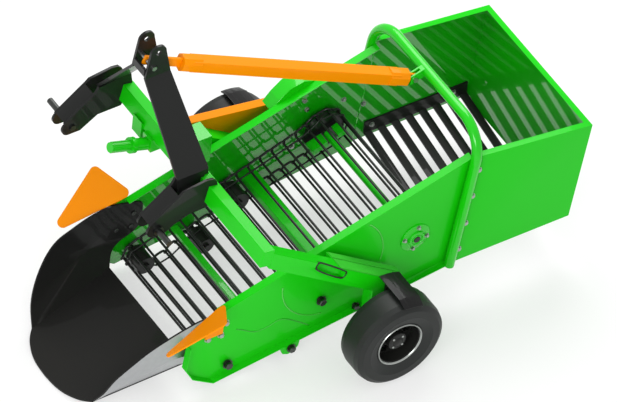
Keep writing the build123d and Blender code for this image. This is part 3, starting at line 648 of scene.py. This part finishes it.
# %% Turned parts
def turned(name, centre, profile, material, body="frame", side=1, steps=64):
    """A profile of (radius, distance along x) turned round an axis across the machine."""
    work = bmesh.new()
    rings = []
    for radius, along in profile:
        ring = []
        for k in range(steps):
            angle = math.tau * k / steps
            y = centre[1] + radius * math.cos(angle)
            z = centre[2] + radius * math.sin(angle)
            ring.append(work.verts.new(at(centre[0] + side * along, y, z)))
        rings.append(ring)
    for inner, outer in zip(rings, rings[1:]):
        for k in range(steps):
            work.faces.new((inner[k], inner[(k + 1) % steps], outer[(k + 1) % steps], outer[k]))
    bmesh.ops.recalc_face_normals(work, faces=work.faces)
    mesh = bpy.data.meshes.new(name)
    work.to_mesh(mesh)
    work.free()
    finish_mesh(mesh, 30.0)
    return link(name, mesh, material, body)


BEARING = [
    (15.2, 0), (15.2, 17), (18, 18), (21, 17), (22, 14), (25, 14), (27, 18), (36, 18), (39, 15),
    (40, 8), (44, 6), (66, 6), (70, 4), (70, 0), (15.2, 0),
]
FLANGE_FACE = 386
flange_bolts = [(10, 56), (56, -10), (-56, 10), (-10, -56)]
SIDES = ((1, "left"), (-1, "right"))
for side, name in SIDES:
    centre = (side * WALL_OUTSIDE, *DRIVE_AXLE)
    bearing = turned("bearing_" + name, centre, BEARING, BRIGHT_GREEN, "frame", side)
    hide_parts("drive_bearing_" + name)
    bolts = []
    for y, z in flange_bolts:
        spot = (side * FLANGE_FACE, DRIVE_AXLE[0] + y, DRIVE_AXLE[1] + z)
        bolts.append((*spot, (side, 0, 0), 17, 10))
    bolt_mesh("bearing_bolts_" + name, bolts, ZINC)
print("bearings made")


# %% [markdown]
# Each wheel is a pressed steel rim with a tyre. A thin bright ring on the rim's edge is a painted
# highlight of its bead, and a bright disc in its dish shows light grey through the rim's openings.
# Four nuts hold the rim, and a black cap covers the end of the axle. All of these ride on the
# wheel's own body, so they turn with it.

# %% Rim highlight, dish, hub caps and wheel nuts
WHEEL_X, WHEEL_Y, WHEEL_Z = 646, 90, 214
# Painted highlight: a bright ring on the black rim's edge.
RIM_EDGE_HIGHLIGHT = [(100, 64), (103, 68), (107, 69), (109, 66), (106, 64), (100, 64)]
RIM_DISH = [(50, -14), (70, -18), (92, -16), (97, -22), (92, -26), (50, -24), (50, -14)]
HUB_CAP = [(0.5, 58), (14, 58), (20, 55), (24, 50), (36, 49), (41, 46), (43, 40), (43, 30)]
NUTS, NUT_CIRCLE_R, NUT_OUT = 4, 31, 44
for side, name in SIDES:
    centre = (side * WHEEL_X, WHEEL_Y, WHEEL_Z)
    body = "wheel_" + name
    turned("rim_edge_highlight_" + name, centre, RIM_EDGE_HIGHLIGHT, ZINC, body, side)
    turned("rim_dish_" + name, centre, RIM_DISH, ZINC, body, side)
    turned("hub_cap_" + name, centre, HUB_CAP, BLACK, body, side)
    nuts = []
    for k in range(NUTS):
        angle = math.radians(45 + 360 / NUTS * k)
        y = WHEEL_Y + NUT_CIRCLE_R * math.cos(angle)
        z = WHEEL_Z + NUT_CIRCLE_R * math.sin(angle)
        nuts.append((centre[0] + side * NUT_OUT, y, z, (side, 0, 0), 12, 8))
    bolt_mesh("wheel_nuts_" + name, nuts, ZINC, body)
print("wheels dressed")


# %% [markdown]
# The share is one big formed plate with a rounded front. Its solid is built from flat pieces, which
# show as facets, so a smoother one takes its place here. The floor is one flat slab. Each side is
# a fan of rings from its outline in to its deepest point, and the outline is a smooth curve through
# points of the drawing. Inside, the share is black like its floor. The outer face of each side gets
# a second material, bright steel, as a painted reflection of the pale floor in its glossy black
# paint.

# %% The share
SHARE_SLOPE, SHARE_TIP = 0.248, -1196
FLOOR_HALF, FLOOR_REAR, FLOOR_TOP, FLOOR_LOW = 310, -700, 9, 1
SIDE_T = 8
# The side's outline (x, y, z), from the front of the floor over the top and down to its rear
EDGE = [
    (241, -1112, 21), (292, -1094, 108), (322, -1062, 200), (352, -1004, 286), (368, -940, 346),
    (372, -862, 380), (375, -784, 407), (375, -698, 424), (375, -640, 420), (375, -600, 408),
    (375, -535, 387), (375, -514, 362), (374, -520, 262), (372, -556, 222), (362, -629, 204),
    (342, -676, 180), (310, -700, 123),
]
# The floor's front edge (x, y), from the middle to the side
FRONT = [(0, -1196), (60, -1193), (105, -1186), (150, -1172), (200, -1147), (241, -1112)]
FOLD_REAR, FOLD_FRONT = Vector((310, -700, 131)), Vector((241, -1112, 29))
HUB = Vector((360, -800, 238))


def share_height(y):
    """Height of the sloping floor above the ground."""
    return (y - SHARE_TIP) * SHARE_SLOPE


def smooth_line(points, parts):
    """A Catmull-Rom curve through points, with a number of parts in each span."""
    line = []
    points = [Vector(point) for point in points]
    for i in range(len(points) - 1):
        before, here = points[max(i - 1, 0)], points[i]
        after, last = points[i + 1], points[min(i + 2, len(points) - 1)]
        for k in range(parts):
            t = k / parts
            line.append(0.5 * (
                2 * here + (after - before) * t + (2 * before - 5 * here + 4 * after - last) * t * t
                + (3 * here - before - 3 * after + last) * t * t * t))
    return line + [points[-1]]


def share_floor():
    """The floor as a closed slab: its top face follows the share's slope."""
    front = smooth_line([(x, y, 0) for x, y in FRONT], 4)
    nose = [(-point.x, point.y) for point in front[::-1]]
    nose += [(point.x, point.y) for point in front[1:]]
    outline = [(-FLOOR_HALF, FLOOR_REAR)] + nose + [(FLOOR_HALF, FLOOR_REAR)]
    work = bmesh.new()
    top = [work.verts.new(at(x, y, share_height(y) + FLOOR_TOP)) for x, y in outline]
    low = [work.verts.new(at(x, y, share_height(y) + FLOOR_LOW)) for x, y in outline]
    work.faces.new(top)
    work.faces.new(low[::-1])
    for k in range(len(outline)):
        n = (k + 1) % len(outline)
        work.faces.new((low[k], low[n], top[n], top[k]))
    bmesh.ops.recalc_face_normals(work, faces=work.faces)
    mesh = bpy.data.meshes.new("share_floor")
    work.to_mesh(mesh)
    work.free()
    finish_mesh(mesh, 40.0)
    return mesh


def share_side(side):
    """One side: rings from its outline in to its deepest point, the inside first, then outside."""
    edge = smooth_line(EDGE, 4)
    fold = [FOLD_REAR.lerp(FOLD_FRONT, k / 12) for k in range(1, 12)]
    outline = edge + fold
    count = len(outline)
    work = bmesh.new()
    skins = []
    for look, inset in ((0, SIDE_T), (1, 0)):
        rings = []
        for part in (1.0, 0.85, 0.6, 0.35, 0.15):
            ring = []
            for point in outline:
                spot = HUB.lerp(point, part)
                ring.append(work.verts.new(at(side * (spot.x - inset), spot.y, spot.z)))
            rings.append(ring)
        centre = work.verts.new(at(side * (HUB.x - inset), HUB.y, HUB.z))
        for first, second in zip(rings, rings[1:]):
            for k in range(count):
                n = (k + 1) % count
                face = work.faces.new((first[k], first[n], second[n], second[k]))
                face.material_index = look
        for k in range(count):
            face = work.faces.new((rings[-1][k], rings[-1][(k + 1) % count], centre))
            face.material_index = look
        skins.append(rings[0])
    for k in range(count):
        n = (k + 1) % count
        work.faces.new((skins[0][k], skins[0][n], skins[1][n], skins[1][k]))
    bmesh.ops.recalc_face_normals(work, faces=work.faces)
    mesh = bpy.data.meshes.new("share_side")
    work.to_mesh(mesh)
    work.free()
    finish_mesh(mesh, 50.0)
    return mesh


floor_piece = link("share_floor", share_floor(), SHARE_BLACK)
for side, name in SIDES:
    piece = link("share_side_" + name, share_side(side), SHARE_BLACK)
    # The outer faces take the painted reflection.
    piece.data.materials.append(SHARE_SIDE_REFLECTION)
    print("share side faces", len(piece.data.polygons))
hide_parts("share")


# %% [markdown]
# Sheet walls are pressed with lines and beads, which stiffen them. On the near side a slot in the
# arm gets a black rim as painted shade along its edge, a wavy press line runs along the wall's foot
# with painted shade on its outward side, and a wide round bead shows on both sides of the arm as a
# pale painted highlight. All three are thin wires, half sunk in the plate that they belong to.

# %% Lines and rims on the near side
ARM_OUTSIDE = 521
slot_edge = [
    (-246, 664), (-234, 684), (-218, 678), (-92, 569), (-82, 554), (-96, 535), (-112, 530),
    (-240, 641),
]
wave = [
    (-516, 297), (-480, 276), (-421, 230), (-354, 232), (-305, 254), (-258, 235), (-174, 167),
    (-143, 139),
]
BEAD_Y, BEAD_Z, BEAD_R = -53, 432, 247


def bead_arc(start, swing, steps):
    """Points of one arc of the round bead, from an angle on through a swing, in degrees."""
    points = []
    for k in range(steps + 1):
        angle = math.radians(start + swing * k / steps)
        y = BEAD_Y + BEAD_R * math.cos(angle)
        points.append((WALL_OUTSIDE, y, BEAD_Z + BEAD_R * math.sin(angle)))
    return points


# Painted shade: a black rim round the arm's slot.
wire("arm_slot_shade_rim", [[(ARM_OUTSIDE, y, z) for y, z in slot_edge]], 4.0, BLACK, 2, True)
# Painted shade: the press line's outward side takes the shaded inside green.
wire("wall_press_line", [[(WALL_OUTSIDE, y, z) for y, z in wave]], 2.5, GREEN_WITH_PAINTED_SHADE)
# Painted highlight: the bead in the pale highlight green.
wire("wall_bead_highlight", [bead_arc(178, 84, 40), bead_arc(-14, 62, 30)], 3.0, HIGHLIGHT_GREEN)
print("near side lines made")


# %% [markdown]
# Two pale strips along the top of the near arm are a painted highlight: the sky's reflection on the
# arm's top face, with a darker gap of the arm's own green between them. They are thin plates with
# softened edges, just above the arm's own top face, whose slope they follow. The input stub takes
# the tractor's drive shaft, so it has splines: six ribs, drawn as straight wires round the stub.

# %% Painted highlight strips and the splined stub
def bar(name, spots, lift, thick, material):
    """A thin plate on four corners, with softened edges."""
    base = [at(*spot) for spot in spots]
    normal = (base[1] - base[0]).cross(base[3] - base[0]).normalized()
    work = bmesh.new()
    low = [work.verts.new(point + normal * lift / 1000) for point in base]
    top = [work.verts.new(point + normal * (lift + thick) / 1000) for point in base]
    work.faces.new(low[::-1])
    work.faces.new(top)
    for k in range(4):
        n = (k + 1) % 4
        work.faces.new((low[k], low[n], top[n], top[k]))
    bmesh.ops.recalc_face_normals(work, faces=work.faces)
    bmesh.ops.bevel(work, geom=work.edges[:], offset=thick / 4000, segments=2, affect="EDGES")
    mesh = bpy.data.meshes.new(name)
    work.to_mesh(mesh)
    work.free()
    finish_mesh(mesh, 40.0)
    return link(name, mesh, material)


# The arm's top edge (y, z) at its two ends
ARM_REAR, ARM_FRONT = (244, 333), (-487, 864)
ARM_FALL = (ARM_FRONT[1] - ARM_REAR[1]) / (ARM_REAR[0] - ARM_FRONT[0])
STRIP_FRONT, STRIP_REAR = -118, 240


def arm_top(y):
    """Height of the arm's top face."""
    return ARM_REAR[1] + (ARM_REAR[0] - y) * ARM_FALL


# Painted highlight: two pale strips on the arm's top face.
for name, low_x, high_x in (("inner", 416, 452), ("outer", 457, 520)):
    strip = [(x, STRIP_FRONT, arm_top(STRIP_FRONT)) for x in (low_x, high_x)]
    strip += [(x, STRIP_REAR, arm_top(STRIP_REAR)) for x in (high_x, low_x)]
    bar("arm_highlight_" + name, strip, 0.4, 2.4, HIGHLIGHT_GREEN)

STUB_TIP, STUB_TILT, STUB_X = Vector((-731, 828)), math.radians(19), -340
SPLINES, SPLINE_R = 6, 20.5
along = Vector((math.cos(STUB_TILT), -math.sin(STUB_TILT)))
across = Vector((math.sin(STUB_TILT), math.cos(STUB_TILT)))
splines = []
for k in range(SPLINES):
    angle = math.tau * k / SPLINES
    side_step, up_step = SPLINE_R * math.cos(angle), SPLINE_R * math.sin(angle)
    run = [STUB_TIP + along * far + across * up_step for far in (2, 40, 96)]
    splines.append([(STUB_X + side_step, spot.x, spot.y) for spot in run])
wire("stub_splines", splines, 4.2, BRIGHT_GREEN)
print("highlight strips and splines made")


# %% [markdown]
# The studio is one pale floor, a soft sky all round and two large soft lamps. The floor has to look
# white and still hold the machine's shadow. It is an ordinary pale surface that is mixed with some
# white light of its own, which only the camera and reflections see. The sky does the same: it
# lights the machine softly, and the camera sees it as plain white.

# %% Floor, sky and lamps
def floor_finish():
    finish = Finish("studio_floor")
    diffuse = finish.node("ShaderNodeBsdfDiffuse", {}, {"Color": (0.92, 0.92, 0.92, 1)})
    glow = finish.node("ShaderNodeEmission", {}, {"Color": (1, 1, 1, 1), "Strength": 1.0})
    seen = finish.node("ShaderNodeLightPath", {}, {}, out="Is Camera Ray")
    mirrored = finish.node("ShaderNodeLightPath", {}, {}, out="Is Glossy Ray")
    amount = (seen + mirrored) * 0.55
    finish.end(finish.node("ShaderNodeMixShader", {}, {0: amount, 1: diffuse, 2: glow}))
    return finish.material


FLOOR_REACH, SKY_STRENGTH = 30.0, 0.75
floor_mesh = bpy.data.meshes.new("floor")
quarters = ((-1, -1), (1, -1), (1, 1), (-1, 1))
floor_corners = [(x * FLOOR_REACH, y * FLOOR_REACH, 0) for x, y in quarters]
floor_mesh.from_pydata(floor_corners, [], [(0, 1, 2, 3)])
floor = bpy.data.objects.new("floor", floor_mesh)
bpy.context.scene.collection.objects.link(floor)
floor_mesh.materials.append(floor_finish())

world = bpy.data.worlds.new("studio")
bpy.context.scene.world = world
world.use_nodes = True
sky = world.node_tree
soft_light = sky.nodes["Background"]
soft_light.inputs["Color"].default_value = (1, 1, 1, 1)
soft_light.inputs["Strength"].default_value = SKY_STRENGTH
seen_sky = sky.nodes.new("ShaderNodeBackground")
seen_sky.inputs["Color"].default_value = (1, 1, 1, 1)
rays = sky.nodes.new("ShaderNodeLightPath")
choose = sky.nodes.new("ShaderNodeMixShader")
sky.links.new(rays.outputs["Is Camera Ray"], choose.inputs[0])
sky.links.new(soft_light.outputs[0], choose.inputs[1])
sky.links.new(seen_sky.outputs[0], choose.inputs[2])
sky.links.new(choose.outputs[0], sky.nodes["World Output"].inputs[0])


def lamp(name, place, target, size, power):
    """A large soft rectangular lamp that looks at a point."""
    data = bpy.data.lights.new(name, "AREA")
    data.shape = "RECTANGLE"
    data.size = size[0]
    data.size_y = size[1]
    data.energy = power
    made = bpy.data.objects.new(name, data)
    bpy.context.scene.collection.objects.link(made)
    made.location = place
    made.rotation_euler = (Vector(target) - Vector(place)).to_track_quat("-Z", "Y").to_euler()


lamp("top_lamp", (-1.8, 1.5, 3.6), (0, 0, 0.4), (3.0, 2.4), 110)
lamp("front_lamp", (3.2, -3.4, 3.0), (0, 0, 0.4), (2.6, 1.8), 120)
print("studio ready")
